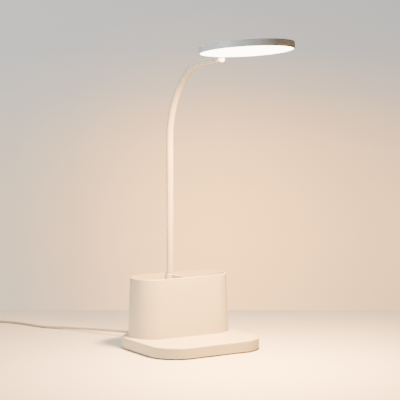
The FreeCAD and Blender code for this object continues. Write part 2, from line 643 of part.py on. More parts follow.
def plug_metal():
    """Metal sleeve of the plug with its contact tongue's slot."""
    wall = PLUG_METAL_WALL
    y, z = PLUG_FRONT_Y - PLUG_METAL_LENGTH / 2, (PLUG_HEIGHT - PLUG_METAL_HEIGHT) / 2
    sleeve = box(PLUG_METAL_WIDTH, PLUG_METAL_LENGTH, PLUG_METAL_HEIGHT, PLUG_AXIS_X, y, z)
    slot = box(PLUG_METAL_WIDTH - 2 * wall, PLUG_METAL_LENGTH - wall, PLUG_METAL_HEIGHT / 2 - wall,
               PLUG_AXIS_X, y - wall / 2, z + PLUG_METAL_HEIGHT / 2)
    return sleeve.cut(slot)


def cord_grip():
    """Strain relief through the plate's back wall: inner flange, neck and a tapered outer sleeve."""
    inner = PLATE_CORNER_R - PLATE_WALL
    outline = [(0, inner - GRIP_FLANGE), (GRIP_FLANGE_R, inner - GRIP_FLANGE), (GRIP_FLANGE_R, inner),
               (GRIP_HOLE_R - SLIP_GAP, inner), (GRIP_HOLE_R - SLIP_GAP, PLATE_CORNER_R),
               (GRIP_ROOT_R, PLATE_CORNER_R), (GRIP_TIP_R, GRIP_TIP_Y), (0, GRIP_TIP_Y)]
    points = [V(CORD_EXIT_X + r, y, CORD_EXIT_Z) for r, y in outline]
    face = Part.Face(Part.makePolygon(points + points[:1]))
    return face.revolve(V(CORD_EXIT_X, 0, CORD_EXIT_Z), BACK, 360)


# ================================================================ all pieces
PIECES = {
    "foot_pad": foot_pad, "base_cover": base_cover, "cover_screws": cover_screws,
    "ballast_plate": ballast_plate, "base_shell": base_shell, "holder_shell": holder_shell,
    "holder_screws": holder_screws, "driver_board": driver_board, "board_parts": board_parts,
    "board_screws": board_screws, "touch_electrode": touch_electrode, "neck_root": neck_root,
    "neck_washer": neck_washer, "neck_nut": neck_nut, "cord_grip": cord_grip, "cord": cord,
    "cord_coil": cord_coil, "plug_body": plug_body, "plug_metal": plug_metal,
    "head_shell": head_shell, "neck_set_screw": neck_set_screw, "diffuser": diffuser,
    "light_guide": light_guide, "reflector": reflector, "foam_ring": foam_ring,
    "led_strip": led_strip, "leds": leds,
}

os.makedirs("parts", exist_ok=True)
for name, make in PIECES.items():
    make().exportStep("parts/" + name + ".step")
for number in range(1, NECK_LINKS + 1):
    neck_link(number).exportStep("parts/neck_link_%02d.step" % number)
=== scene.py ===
import json
import math

import bpy
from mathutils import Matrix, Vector


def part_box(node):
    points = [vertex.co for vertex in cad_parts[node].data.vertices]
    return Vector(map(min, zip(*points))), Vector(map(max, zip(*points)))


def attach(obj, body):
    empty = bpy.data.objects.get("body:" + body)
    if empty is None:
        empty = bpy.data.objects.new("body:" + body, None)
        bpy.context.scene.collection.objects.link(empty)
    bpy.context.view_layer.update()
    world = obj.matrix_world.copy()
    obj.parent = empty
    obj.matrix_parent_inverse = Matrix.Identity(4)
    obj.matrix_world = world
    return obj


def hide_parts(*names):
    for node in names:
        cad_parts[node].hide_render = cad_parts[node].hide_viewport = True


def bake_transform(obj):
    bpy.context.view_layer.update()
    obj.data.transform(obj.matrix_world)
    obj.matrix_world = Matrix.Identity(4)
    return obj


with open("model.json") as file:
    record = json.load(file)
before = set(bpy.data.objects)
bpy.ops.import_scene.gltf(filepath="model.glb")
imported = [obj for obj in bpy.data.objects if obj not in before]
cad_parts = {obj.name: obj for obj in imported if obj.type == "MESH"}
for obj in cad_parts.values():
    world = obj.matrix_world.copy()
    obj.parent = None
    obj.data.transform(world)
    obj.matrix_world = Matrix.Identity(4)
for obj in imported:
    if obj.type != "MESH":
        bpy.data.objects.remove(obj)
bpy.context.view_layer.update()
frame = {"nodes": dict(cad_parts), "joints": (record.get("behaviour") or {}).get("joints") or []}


# ================================================================ camera and room
# The camera looks at the lamp's front left corner from a little above the holder. The room
# behind is a pale grey wall, with the warm glow of the lamp's light painted on it below the
# light, and painted shade that darkens it towards the right. Cool daylight comes in from the
# left, and a broad warm lamp hangs overhead.
CAMERA_PLACE = Vector((-0.9773, -1.6128, 0.3488))
CAMERA_AZIMUTH = math.radians(-32.09)
CAMERA_PITCH = math.radians(4.64)
CAMERA_LENS = 126.8
WALL_GREY = (0.81, 0.80, 0.785, 1)
WALL_LOW_PAINTED_GLOW = (0.85, 0.79, 0.665, 1)
WALL_PAINTED_GLOW = (4.1, 2.13, 0.76, 1)
# Where the painted glow on the wall starts, low and on the left, and how far its two ramps reach.
# WALL_FADE is painted shade that darkens the wall towards the right.
WALL_LOW = -0.2
WALL_LEFT = -0.15
WALL_SPAN = 0.3
WALL_FADE = 0.7
GLOW_UPWARDS = [(0.0, 0.80), (0.15, 0.86), (0.30, 1.0), (0.40, 0.94), (0.52, 0.71),
                (0.66, 0.23), (0.75, 0.06), (0.9, 0.0)]
GLOW_ACROSS = [(0.06, 0.14), (0.20, 0.31), (0.35, 0.70), (0.45, 0.93), (0.55, 1.0),
               (0.66, 0.92), (0.80, 0.72), (0.94, 0.55)]
FILL_COLOUR = (0.96, 0.97, 0.96, 1)
FILL_STRENGTH = 0.05
FILL_LEAN = 0.5
# The colour sockets of a Mix node share their names with others, so they go by number.
MIX_LOW, MIX_HIGH, MIX_RESULT = 6, 7, 2

eye = bpy.data.cameras.new("eye")
eye.lens = CAMERA_LENS
camera = bpy.data.objects.new("camera", eye)
camera.location = CAMERA_PLACE
camera.rotation_euler = (math.pi / 2 - CAMERA_PITCH, 0, CAMERA_AZIMUTH)
bpy.context.scene.collection.objects.link(camera)
bpy.context.scene.camera = camera


class Wire:
    """A shader socket. Arithmetic on it adds Math nodes to its tree."""

    def __init__(self, tree, socket=None):
        self.tree, self.socket = tree, socket

    def node(self, kind, settings, inputs, out=0):
        """Add a node: its settings are set first, then the values or links of its sockets."""
        made = self.tree.nodes.new(kind)
        for name, value in settings.items():
            if name == "stops":
                ramp = made.color_ramp.elements
                while len(ramp) < len(value):
                    ramp.new(0.5)
                for stop, (place, shade) in zip(ramp, value):
                    stop.position = place
                    stop.color = (shade, shade, shade, 1)
            else:
                setattr(made, name, value)
        for name, value in inputs.items():
            if isinstance(value, Wire):
                self.tree.links.new(value.socket, made.inputs[name])
            else:
                made.inputs[name].default_value = value
        return Wire(self.tree, made.outputs[out])

    def math(self, operation, first, second):
        """Add the Math node that an operator stands for."""
        return self.node("ShaderNodeMath", {"operation": operation}, {0: first, 1: second})

    def __add__(self, other):
        return self.math("ADD", self, other)

    def __sub__(self, other):
        return self.math("SUBTRACT", self, other)

    def __rsub__(self, other):
        return self.math("SUBTRACT", other, self)

    def __mul__(self, other):
        return self.math("MULTIPLY", self, other)

    __radd__ = __add__
    __rmul__ = __mul__


def mix(share, low, high):
    """Colour that goes from low to high with the wire share."""
    return share.node("ShaderNodeMix", {"data_type": "RGBA"},
                      {0: share, MIX_LOW: low, MIX_HIGH: high}, MIX_RESULT)


def light_the_room():
    """The wall that shows behind the lamp, with the lamp's glow and shade painted on it, and the
    weak fill that the pieces get from the room.
    """
    world = bpy.data.worlds.new("room")
    world.use_nodes = True
    world.node_tree.nodes.clear()
    wire = Wire(world.node_tree)
    way = wire.node("ShaderNodeTexCoord", {}, {}, "Generated")
    height = wire.node("ShaderNodeSeparateXYZ", {}, {0: way}, "Z")
    right = (math.cos(CAMERA_AZIMUTH), math.sin(CAMERA_AZIMUTH), 0)
    side = wire.node("ShaderNodeVectorMath", {"operation": "DOT_PRODUCT"},
                     {0: way, 1: right}, "Value")
    upwards = wire.node("ShaderNodeValToRGB", {"stops": GLOW_UPWARDS},
                        {0: (height - WALL_LOW) * (1 / WALL_SPAN)})
    across = wire.node("ShaderNodeValToRGB", {"stops": GLOW_ACROSS},
                       {0: (side - WALL_LEFT) * (1 / WALL_SPAN)})
    # The lamp's warm glow on the wall, and its shade to the right, are painted into the wall's
    # colour and strength.
    wall = mix(upwards * across, mix(upwards, WALL_GREY, WALL_LOW_PAINTED_GLOW), WALL_PAINTED_GLOW)
    near_side = side.node("ShaderNodeClamp", {},
                          {"Value": side, "Min": WALL_LEFT, "Max": WALL_LEFT + WALL_SPAN})
    seen = wire.node("ShaderNodeBackground", {},
                     {"Color": wall, "Strength": 1 - WALL_FADE * near_side})
    fill = wire.node("ShaderNodeBackground", {},
                     {"Color": FILL_COLOUR, "Strength": FILL_STRENGTH * (1 - FILL_LEAN * side)})
    looked_at = wire.node("ShaderNodeLightPath", {}, {}, "Is Camera Ray")
    both = wire.node("ShaderNodeMixShader", {}, {0: looked_at, 1: fill, 2: seen})
    output = world.node_tree.nodes.new("ShaderNodeOutputWorld")
    world.node_tree.links.new(both.socket, output.inputs["Surface"])
    bpy.context.scene.world = world


def soft_light(name, place, aim, size, watts, colour, shape="SQUARE", spread=180):
    """Flat lamp, unseen itself, that shines from place towards aim."""
    lamp = bpy.data.lights.new(name, "AREA")
    lamp.shape = shape
    lamp.size = size
    lamp.energy = watts
    lamp.color = colour
    lamp.spread = math.radians(spread)
    holder = bpy.data.objects.new(name, lamp)
    holder.location = place
    holder.rotation_euler = (Vector(aim) - Vector(place)).to_track_quat("-Z", "Y").to_euler()
    holder.visible_camera = False
    bpy.context.scene.collection.objects.link(holder)
    return holder


light_the_room()
soft_light("daylight", place=(-1.8, -0.3, 0.8), aim=(0, -0.16, 0.6), size=0.9, watts=3.8,
           colour=(0.76, 0.96, 1.08), spread=40)
soft_light("ceiling", place=(-0.1, 0.35, 2.4), aim=(-0.1, 0.35, 0), size=1.8, watts=80,
           colour=(1.0, 0.90, 0.75))


# ================================================================ table
# Plain pale desk top of lacquered board with a satin finish and a rounded edge. The lamp stands
# near its middle, and its far edge is the line behind the lamp.
TABLE_REACH = 2.177
TABLE_WIDTH = 1.8
TABLE_DEPTH = 0.95
TABLE_THICKNESS = 0.03
TABLE_EDGE = 0.003
TABLE_PALE = (0.83, 0.785, 0.71, 1)
TABLE_DEEP = (0.80, 0.755, 0.68, 1)


def finish(name, **plain):
    """New material with plain shader values: returns it, its shader and its object coordinates."""
    material = bpy.data.materials.new(name)
    material.use_nodes = True
    shader = material.node_tree.nodes["Principled BSDF"]
    for socket, value in plain.items():
        shader.inputs[socket.replace("_", " ")].default_value = value
    wire = Wire(material.node_tree)
    return material, shader, wire.node("ShaderNodeTexCoord", {}, {}, "Object")


def drive(shader, socket, value):
    """Link a wire to a socket of the surface shader."""
    value.tree.links.new(value.socket, shader.inputs[socket])


def blotches(where, per_metre, detail=2.0):
    """Cloudy value about 0.5, with so many blotches to the metre."""
    return where.node("ShaderNodeTexNoise", {},
                      {"Vector": where, "Scale": per_metre, "Detail": detail})


def two_tone(shader, share, pale, deep):
    """Surface colour that goes from pale to deep with the wire share."""
    drive(shader, "Base Color", mix(share, pale, deep))


def uneven_shine(shader, share, low, high):
    """Roughness that goes from low to high with the wire share."""
    drive(shader, "Roughness", low + (high - low) * share)


def table_lacquer():
    """Satin lacquer, a little cloudy in tone and shine."""
    material, shader, where = finish("table_satin")
    two_tone(shader, blotches(where, per_metre=3.0), TABLE_PALE, TABLE_DEEP)
    uneven_shine(shader, blotches(where, per_metre=12.0, detail=4.0), low=0.42, high=0.58)
    return material


def start_piece(name, add, **place):
    """Deselect everything, add a primitive under its final name, and put its place in its mesh."""
    bpy.ops.object.select_all(action="DESELECT")
    add(**place)
    piece = bpy.context.object
    piece.name = piece.data.name = name
    bpy.ops.object.transform_apply(location=True, rotation=True, scale=True)
    return piece


def round_edges(piece, width, segments=3, angle=40):
    """Bevel the edges that are sharper than angle degrees, and shade the rest smooth."""
    bevel = piece.modifiers.new("rounded", "BEVEL")
    bevel.width = width
    bevel.segments = segments
    bevel.limit_method = "ANGLE"
    bevel.angle_limit = math.radians(angle)
    bpy.ops.object.modifier_apply(modifier=bevel.name)
    bpy.ops.object.shade_smooth_by_angle(angle=math.radians(angle))


ahead = Vector((-math.sin(CAMERA_AZIMUTH), math.cos(CAMERA_AZIMUTH), 0))
table_back = Vector((CAMERA_PLACE.x, CAMERA_PLACE.y, 0)) + ahead * TABLE_REACH
table_middle = table_back - ahead * TABLE_DEPTH / 2
table = start_piece("table_top", bpy.ops.mesh.primitive_cube_add, size=1,
                    location=(table_middle.x, table_middle.y, -TABLE_THICKNESS / 2),
                    rotation=(0, 0, CAMERA_AZIMUTH),
                    scale=(TABLE_WIDTH, TABLE_DEPTH, TABLE_THICKNESS))
round_edges(table, TABLE_EDGE)
table.data.materials.append(table_lacquer())


# ================================================================ foot pad and base cover
# The pad is a sheet of dark foam rubber, stuck under the moulded cover; its near-black colour
# is also painted shade for the gap under the plate. The cover closes the base plate from below,
# and six countersunk screws hold it.
PAD_DARK_AND_GAP_SHADE = (0.028, 0.027, 0.026, 1)
PAD_WORN = (0.050, 0.048, 0.046, 1)
PAD_CELL_DEPTH = 0.00012
COVER_GREY = (0.72, 0.70, 0.67, 1)
COVER_PALE = (0.78, 0.76, 0.73, 1)
COVER_GRAIN_DEPTH = 0.00004


def dress(material, *names):
    """Give CAD nodes their finish."""
    for name in names:
        for slot in frame["nodes"][name].material_slots:
            slot.material = material


def cells(where, per_metre):
    """Value that is low in the middle of each cell and high at its walls."""
    return where.node("ShaderNodeTexVoronoi", {}, {"Vector": where, "Scale": per_metre},
                      "Distance")


def emboss(shader, height, depth, strength=1.0):
    """Raise the surface by up to depth metres where the wire height is high."""
    drive(shader, "Normal", height.node("ShaderNodeBump", {}, {
        "Strength": strength, "Distance": depth, "Height": height}))


def foam_rubber():
    """Dark foam, near black partly as painted shade for the gap under the plate, with cells under a
    millimetre across, worn paler in places.
    """
    material, shader, where = finish("foot_rubber", Roughness=0.85)
    two_tone(shader, blotches(where, per_metre=45.0, detail=4.0), PAD_DARK_AND_GAP_SHADE, PAD_WORN)
    emboss(shader, cells(where, per_metre=1400.0), PAD_CELL_DEPTH, strength=0.6)
    return material


def moulded_cover():
    """Pale grey plastic with a fine grain from its mould."""
    material, shader, where = finish("cover_plastic", Roughness=0.55)
    two_tone(shader, blotches(where, per_metre=30.0), COVER_GREY, COVER_PALE)
    emboss(shader, blotches(where, per_metre=3200.0, detail=1.0), COVER_GRAIN_DEPTH, strength=0.5)
    return material


dress(foam_rubber(), "foot_pad")
dress(moulded_cover(), "base_cover")


# ================================================================ screws, washer, nut and ballast
# Small zinc-plated steel screws, the neck's washer and nut, and a sawn steel plate, also
# zinc-plated, that lies between low walls on the cover and keeps the lamp from tipping.
ZINC_BRIGHT = (0.66, 0.67, 0.70, 1)
ZINC_DULL = (0.50, 0.51, 0.53, 1)
ZINC_SPANGLE_DEPTH = 0.00003


def zinc_plate():
    """Zinc with a fine spangle, and clouds that are darker and duller."""
    material, shader, where = finish("zinc_plate", Metallic=1.0)
    cloud = blotches(where, per_metre=260.0, detail=4.0)
    two_tone(shader, cloud, ZINC_BRIGHT, ZINC_DULL)
    uneven_shine(shader, cloud, low=0.24, high=0.50)
    emboss(shader, blotches(where, per_metre=2600.0), ZINC_SPANGLE_DEPTH, strength=0.5)
    return material


zinc = zinc_plate()
dress(zinc, "cover_screws", "holder_screws", "board_screws", "neck_washer", "neck_nut",
      "neck_set_screw", "ballast_plate")


# ================================================================ base shell, holder and head
# Injection-moulded white plastic with a fine spark-eroded grain: satin, a little uneven in
# shine, with faint wipe marks. Screws from below hold the holder to the plate. The head's
# housing is white plastic too, in one piece with the collar that clamps the neck, but its
# colour is painted a darker, cooler grey as shade on its rim.
SHELL_CREAM = (0.69, 0.645, 0.495, 1)
SHELL_IVORY = (0.66, 0.615, 0.46, 1)
HEAD_SHADED_WHITE = (0.56, 0.565, 0.55, 1)
HEAD_SHADED_GREY = (0.535, 0.54, 0.525, 1)
SHELL_GRAIN_DEPTH = 0.00004
WIPE_STRETCH = (1.0, 0.35, 1.0)


def stretched(where, stretch):
    """Object coordinates scaled along each axis, so that a pattern on them is drawn out."""
    return where.node("ShaderNodeMapping", {}, {"Vector": where, "Scale": stretch})


def white_plastic(name, pale, deep):
    """Grained white plastic in two near tones, with wipe marks from front to back."""
    material, shader, where = finish(name)
    two_tone(shader, blotches(where, per_metre=14.0, detail=3.0), pale, deep)
    wipe_marks = blotches(stretched(where, WIPE_STRETCH), per_metre=70.0, detail=5.0)
    uneven_shine(shader, wipe_marks, low=0.34, high=0.50)
    emboss(shader, blotches(where, per_metre=2800.0, detail=1.0), SHELL_GRAIN_DEPTH,
           strength=0.55)
    return material


white_moulding = white_plastic("white_plastic", SHELL_CREAM, SHELL_IVORY)
dress(white_moulding, "base_shell", "holder_shell")
# The head's colours are the white plastic painted a darker, cooler grey, as shade on its rim.
dress(white_plastic("head_plastic_painted_shade", HEAD_SHADED_WHITE, HEAD_SHADED_GREY), "head_shell")


# ================================================================ driver board and touch foil
# Green glass-fibre board with dark moulded parts, screwed under the plate's top, and a strip
# of copper foil stuck under the plate's front, which feels the finger that switches the light.
MASK_GREEN = (0.012, 0.125, 0.050, 1)
TRACE_GREEN = (0.020, 0.190, 0.075, 1)
TRACE_DEPTH = 0.00003
PART_BLACK = (0.022, 0.022, 0.024, 1)
PART_GREY = (0.060, 0.060, 0.062, 1)
COPPER = (0.72, 0.41, 0.26, 1)
COPPER_DULL = (0.52, 0.28, 0.18, 1)
CREASE_DEPTH = 0.0001


def tracks(where, per_metre, width, stagger, softness=0.1):
    """Value that is high on the tracks between rows of staggered blocks."""
    return where.node("ShaderNodeTexBrick", {"offset": stagger},
                      {"Vector": where, "Scale": per_metre, "Mortar Size": width,
                       "Mortar Smooth": softness}, "Fac")


def board_mask():
    """Green solder mask, paler and raised where it lies on the board's tracks."""
    material, shader, where = finish("circuit_board", Roughness=0.3)
    lanes = tracks(where, per_metre=240.0, width=0.12, stagger=0.37, softness=0.2)
    two_tone(shader, lanes, MASK_GREEN, TRACE_GREEN)
    emboss(shader, lanes, TRACE_DEPTH)
    return material


def moulded_component():
    """Black moulded parts, uneven in tone and shine."""
    material, shader, where = finish("components")
    two_tone(shader, blotches(where, per_metre=400.0), PART_BLACK, PART_GREY)
    uneven_shine(shader, blotches(where, per_metre=900.0), low=0.4, high=0.65)
    return material


def copper_foil():
    """Creased copper foil, duller in patches."""
    material, shader, where = finish("electrode_foil", Metallic=1.0, Roughness=0.3)
    creases = blotches(where, per_metre=320.0, detail=5.0)
    two_tone(shader, creases, COPPER, COPPER_DULL)
    emboss(shader, creases, CREASE_DEPTH, strength=0.5)
    return material


dress(board_mask(), "driver_board")
dress(moulded_component(), "board_parts")
dress(copper_foil(), "touch_electrode")


# ================================================================ neck
# Flexible steel gooseneck in a smooth white silicone sleeve. Its foot is pushed down the
# holder's boss and ends in a stud, bolted under the plate. The tip is clamped in the head's collar.
NECK_R = 0.00465
NECK_Y = 0.0223
BEND_START_Z = 0.2775
LOWER_BEND_R = 0.1084
LOWER_BEND_TURN = math.radians(57.0)
UPPER_BEND_R = 0.0629
UPPER_BEND_TURN = math.radians(27.1)
NECK_END_RUN = 0.0491
# The centreline's runs from the table up: how long each is, and how far it turns forwards.
NECK_RUNS = [(BEND_START_Z, 0.0), (LOWER_BEND_R * LOWER_BEND_TURN, LOWER_BEND_TURN),
             (UPPER_BEND_R * UPPER_BEND_TURN, UPPER_BEND_TURN), (NECK_END_RUN, 0.0)]
SLEEVE_SIDES = 40
RINGS_PER_LINK = 12
SLEEVE_WHITE = (0.70, 0.635, 0.47, 1)
SLEEVE_CREAM = (0.67, 0.605, 0.44, 1)
SLEEVE_GRAIN_DEPTH = 0.00003
SAME_POINT = 1e-6

joints = [Vector(joint["pos_m"]) for joint in frame["joints"]]
FIRST_JOINT = joints[0].z
LINK_PITCH = joints[1].z - joints[0].z
RING_PITCH = LINK_PITCH / RINGS_PER_LINK
NECK_LENGTH = FIRST_JOINT + len(joints) * LINK_PITCH


def silicone_sleeve():
    """Warm white silicone rubber with a soft satin grain."""
    material, shader, where = finish("neck_sleeve")
    two_tone(shader, blotches(where, per_metre=40.0, detail=3.0), SLEEVE_WHITE, SLEEVE_CREAM)
    uneven_shine(shader, blotches(where, per_metre=160.0, detail=4.0), low=0.38, high=0.54)
    emboss(shader, blotches(where, per_metre=1500.0), SLEEVE_GRAIN_DEPTH, strength=0.6)
    return material


def on_neck(along):
    """Point and direction of the neck's centreline, so many metres of neck above the table."""
    point, heading = Vector((0, NECK_Y, 0)), 0.0
    for run in NECK_RUNS:
        length, turn = run
        # The last run goes on past its end, into the collar.
        part = along if run is NECK_RUNS[-1] else min(along, length)
        if turn:
            radius, end = length / turn, heading + part * turn / length
            point = point + radius * Vector((0, math.cos(end) - math.cos(heading),
                                             math.sin(end) - math.sin(heading)))
            heading = end
        else:
            point = point + part * Vector((0, -math.sin(heading), math.cos(heading)))
        along -= part
        if along <= 0:
            break
    return point, Vector((0, -math.sin(heading), math.cos(heading)))


def start_rod(name, radius, sides, place, rotation=(0, 0, 0)):
    """Start a rod as its flat first end, selected in edit mode and ready to be drawn out."""
    rod = start_piece(name, bpy.ops.mesh.primitive_circle_add, vertices=sides, radius=radius,
                      fill_type="NGON", location=place, rotation=rotation)
    bpy.ops.object.mode_set(mode="EDIT")
    bpy.ops.mesh.select_all(action="SELECT")
    return rod


def run_straight(low, high):
    """Extrude the selected end ring along a straight run of the neck."""
    start, end = on_neck(low)[0], on_neck(high)[0]
    steps = round((high - low) / RING_PITCH)
    for _ in range(steps):
        bpy.ops.mesh.extrude_region_move(TRANSFORM_OT_translate={"value": (end - start) / steps})


def run_round(low, radius, turn):
    """Spin the selected end ring forwards about a bend's centre."""
    point, direction = on_neck(low)
    centre = point + radius * Vector((0, -direction.z, direction.y))
    steps = round(radius * turn / RING_PITCH)
    bpy.ops.mesh.spin(steps=steps, angle=-turn, center=centre, axis=(1, 0, 0))


def close_up(piece, angle=40):
    """Leave edit mode with all normals outwards, and smooth the shading between sharp edges."""
    bpy.ops.mesh.select_all(action="SELECT")
    bpy.ops.mesh.normals_make_consistent(inside=False)
    bpy.ops.object.mode_set(mode="OBJECT")
    bpy.ops.object.shade_smooth_by_angle(angle=math.radians(angle))
    return piece


def whole_sleeve(low):
    """One tube round the whole centreline, from low to the tip in the head's collar."""
    sleeve = start_rod("neck_sleeve", NECK_R, SLEEVE_SIDES, on_neck(low)[0])
    run_straight(low, BEND_START_Z)
    along = BEND_START_Z
    for radius, turn in ((LOWER_BEND_R, LOWER_BEND_TURN), (UPPER_BEND_R, UPPER_BEND_TURN)):
        run_round(along, radius, turn)
        along += radius * turn
    run_straight(along, NECK_LENGTH)
    bpy.ops.mesh.select_all(action="SELECT")
    bpy.ops.mesh.fill_holes(sides=0)
    bpy.ops.mesh.select_all(action="SELECT")
    bpy.ops.mesh.remove_doubles(threshold=SAME_POINT)
    return close_up(sleeve)


def cut_span(sleeve, name, low, high):
    """Copy of the sleeve that keeps only what lies between two places, closed at both ends."""
    span = sleeve.copy()
    span.data = sleeve.data.copy()
    span.name = span.data.name = name
    bpy.context.scene.collection.objects.link(span)
    bpy.ops.object.select_all(action="DESELECT")
    span.select_set(True)
    bpy.context.view_layer.objects.active = span
    bpy.ops.object.mode_set(mode="EDIT")
    for along, below in ((low, True), (high, False)):
        if along is not None:
            point, direction = on_neck(along)
            bpy.ops.mesh.select_all(action="SELECT")
            bpy.ops.mesh.bisect(plane_co=point, plane_no=direction, use_fill=True,
                                clear_inner=below, clear_outer=not below, threshold=SAME_POINT)
    return close_up(span)


sleeve_finish = silicone_sleeve()
foot_top = FIRST_JOINT - LINK_PITCH / 2
sleeve = whole_sleeve(foot_top)
sleeve.data.materials.append(sleeve_finish)
# Each length of sleeve crosses one joint, and is cut at the middle of the links on both sides.
for number in range(1, len(joints) + 1):
    low = FIRST_JOINT + (number - 1.5) * LINK_PITCH
    high = low + LINK_PITCH
    span = cut_span(sleeve, "neck_sleeve_%02d" % number, None if number == 1 else low, high)
    on_neck(low)[0]
    on_neck(high)[0]
    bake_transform(span)
    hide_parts("neck_link_%02d" % number)
tip = cut_span(sleeve, "neck_sleeve_tip", NECK_LENGTH - LINK_PITCH / 2, None)
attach(tip, "light")
bpy.data.objects.remove(sleeve)


# ---------------------------------------------------------------- foot and stud of the neck
# The sleeve runs on down through the boss to the plate. Under it the gooseneck's end fitting, a
# turned and plated steel stud with a rolled thread, goes through the plate and takes the nut.
STUD_R = 0.0035
STUD_SIDES = 32
THREAD_DEPTH = 0.0003
THREAD_PITCH = 0.0008
PLAIN_TURNS = 2
THREAD_SMOOTHING = 25


def draw_out(place, way, steps):
    """Extrude the selected end along way. Each step is a distance and the end's change in size."""
    place = Vector(place)
    for distance, share in steps:
        shift = distance * Vector(way)
        place = place + shift
        bpy.ops.mesh.extrude_region_move(TRANSFORM_OT_translate={"value": shift})
        if share != 1:
            share = share if isinstance(share, tuple) else (share, share, share)
            bpy.ops.transform.resize(value=share, center_override=place)


def neck_foot(low, high):
    """The length of sleeve that stands fixed in the boss."""
    foot = start_rod("neck_foot", NECK_R, SLEEVE_SIDES, (0, NECK_Y, low))
    rings = round((high - low) / RING_PITCH)
    draw_out((0, NECK_Y, low), (0, 0, 1), [((high - low) / rings, 1)] * rings)
    return close_up(foot)


def neck_stud(low, high):
    """Stud with a chamfer, a crest and a root for each turn of its thread, and a plain end."""
    root = STUD_R - THREAD_DEPTH
    chamfer = root - THREAD_DEPTH
    half = THREAD_PITCH / 2
    turns = int((high - low) / THREAD_PITCH) - PLAIN_TURNS
    thread = [(half, STUD_R / root), (half, root / STUD_R)] * turns
    plain = high - low - THREAD_PITCH * (turns + 0.5)
    stud = start_rod("neck_stud", chamfer, STUD_SIDES, (0, NECK_Y, low))
    draw_out((0, NECK_Y, low), (0, 0, 1), [(half, root / chamfer)] + thread + [(plain, 1)])
    return close_up(stud, THREAD_SMOOTHING)


plate_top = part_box("base_shell")[1][2]
foot = neck_foot(plate_top, foot_top)
foot.data.materials.append(sleeve_finish)
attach(foot, "base")
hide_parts("neck_root")
stud = neck_stud(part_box("neck_root")[0][2], plate_top)
stud.data.materials.append(zinc)
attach(stud, "base")


# ================================================================ light
# Edge-lit panel: an opal diffuser glued into the housing's rim, a clear guide above it with a
# strip of light-emitting diodes round its edge, white film on top, and a ring of foam.
OPAL_WHITE = (0.93, 0.92, 0.90, 1)
OPAL_CREAM = (0.90, 0.89, 0.86, 1)
GLOW_WHITE = (1.0, 0.91, 0.78, 1)
GLOW_EDGE = (1.0, 0.88, 0.72, 1)
GLOW_STRENGTH = 12.0
PANEL_LIGHT = (1.0, 0.55, 0.225)
PANEL_WATTS = 16.5
PANEL_SIZE = 0.096
PANEL_SPREAD = 164
PANEL_DROP = 0.0012
ACRYLIC_CLEAR = (0.97, 0.98, 0.98, 1)
ACRYLIC_GREEN = (0.93, 0.96, 0.96, 1)
FILM_WHITE = (0.94, 0.94, 0.94, 1)
FILM_GREY = (0.90, 0.91, 0.92, 1)
# The foam's darkest tone lies in its sunken cell middles, as painted shade.
FOAM_DARK_AND_PORE_SHADE = (0.085, 0.085, 0.09, 1)
FOAM_GREY = (0.19, 0.19, 0.20, 1)
FOAM_CELL_DEPTH = 0.0002
STRIP_WHITE = (0.90, 0.89, 0.86, 1)
STRIP_BUFF = (0.72, 0.66, 0.52, 1)
PHOSPHOR_DEEP = (0.90, 0.74, 0.22, 1)
PHOSPHOR_PALE = (0.94, 0.84, 0.42, 1)


def lit_opal():
    """Opal plastic that glows all over, a little warmer in patches."""
    material, shader, where = finish("opal_diffuser", Roughness=0.45,
                                     Emission_Strength=GLOW_STRENGTH)
    two_tone(shader, blotches(where, per_metre=90.0), OPAL_WHITE, OPAL_CREAM)
    drive(shader, "Emission Color", mix(blotches(where, per_metre=18.0), GLOW_WHITE, GLOW_EDGE))
    return material


def light_panel():
    """The panel's light: a lamp just under the diffuser that moves with the head."""
    low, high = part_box("diffuser")
    direction = on_neck(NECK_LENGTH)[1]
    down = Vector((0, -direction.z, direction.y))
    middle = (Vector(low) + Vector(high)) / 2 + PANEL_DROP * down
    lamp = soft_light("panel_light", place=middle, aim=middle + down, size=PANEL_SIZE,
                      watts=PANEL_WATTS, colour=PANEL_LIGHT, shape="DISK", spread=PANEL_SPREAD)
    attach(lamp, "light")


def clear_acrylic():
    """Clear acrylic with fine etched dots, which let the light out."""
    material, shader, where = finish("clear_acrylic", IOR=1.49, Transmission_Weight=1.0)
    two_tone(shader, blotches(where, per_metre=60.0), ACRYLIC_CLEAR, ACRYLIC_GREEN)
    uneven_shine(shader, cells(where, per_metre=900.0), low=0.03, high=0.13)
    return material


def white_film():
    """White reflector film, faintly mottled."""
    material, shader, where = finish("white_film")
    two_tone(shader, blotches(where, per_metre=50.0), FILM_WHITE, FILM_GREY)
    uneven_shine(shader, blotches(where, per_metre=700.0), low=0.4, high=0.6)
    return material


def open_foam():
    """Dark foam, paler at the walls of its open cells, with painted shade in their sunken middles.
    """
    material, shader, where = finish("foam", Roughness=0.95)
    pores = cells(where, per_metre=1800.0)
    two_tone(shader, pores, FOAM_DARK_AND_PORE_SHADE, FOAM_GREY)
    emboss(shader, pores, FOAM_CELL_DEPTH)
    return material


def strip_film():
    """White film with thin buff tracks, which carries the diodes."""
    material, shader, where = finish("strip_film")
    lanes = tracks(where, per_metre=150.0, width=0.05, stagger=0.5)
    two_tone(shader, lanes, STRIP_WHITE, STRIP_BUFF)
    uneven_shine(shader, blotches(where, per_metre=500.0), low=0.35, high=0.55)
    return material


def phosphor():
    """Yellow phosphor under clear resin."""
    material, shader, where = finish("led_package", Roughness=0.25, Coat_Weight=0.4)
    two_tone(shader, blotches(where, per_metre=1200.0), PHOSPHOR_DEEP, PHOSPHOR_PALE)
    return material


dress(lit_opal(), "diffuser")
dress(clear_acrylic(), "light_guide")
dress(white_film(), "reflector")
dress(open_foam(), "foam_ring")
dress(strip_film(), "led_strip")
dress(phosphor(), "leds")
light_panel()


